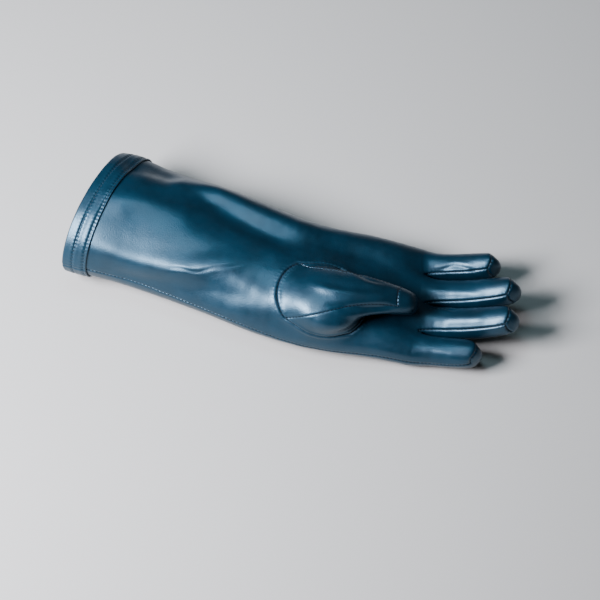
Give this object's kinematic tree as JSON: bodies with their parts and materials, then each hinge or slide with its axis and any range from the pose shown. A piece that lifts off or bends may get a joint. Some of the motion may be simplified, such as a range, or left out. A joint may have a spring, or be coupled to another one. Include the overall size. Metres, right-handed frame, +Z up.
{
  "type": "lead lined glove",
  "caption": "Gauntlet glove of leather over a lead-vinyl core, palm up with its thumb folded over the palm, fingers slightly curled and a stitched hem round the cuff.",
  "frame": {"origin": "middle of the glove's footprint, on the surface it lies on", "axes": "+X along the glove from the cuff to the fingertips, -Y towards the thumb and index side, +Z up, out of the palm"},
  "size_m": [0.395, 0.137, 0.0762],
  "materials": {
    "glove_leather": "satin, deep blue-green",
    "hem_leather": "satin, deep blue-green, turned and stitched"
  },
  "bodies": {
    "root": {"palm_panel": "glove_leather", "back_panel": "glove_leather", "index_back": "glove_leather", "middle_back": "glove_leather", "ring_back": "glove_leather", "little_back": "glove_leather", "fourchette_index_middle": "glove_leather", "fourchette_middle_ring": "glove_leather", "fourchette_ring_little": "glove_leather", "thumb_top": "glove_leather", "thumb_under": "glove_leather", "cuff_hem": "hem_leather"}
  },
  "joints": []
}
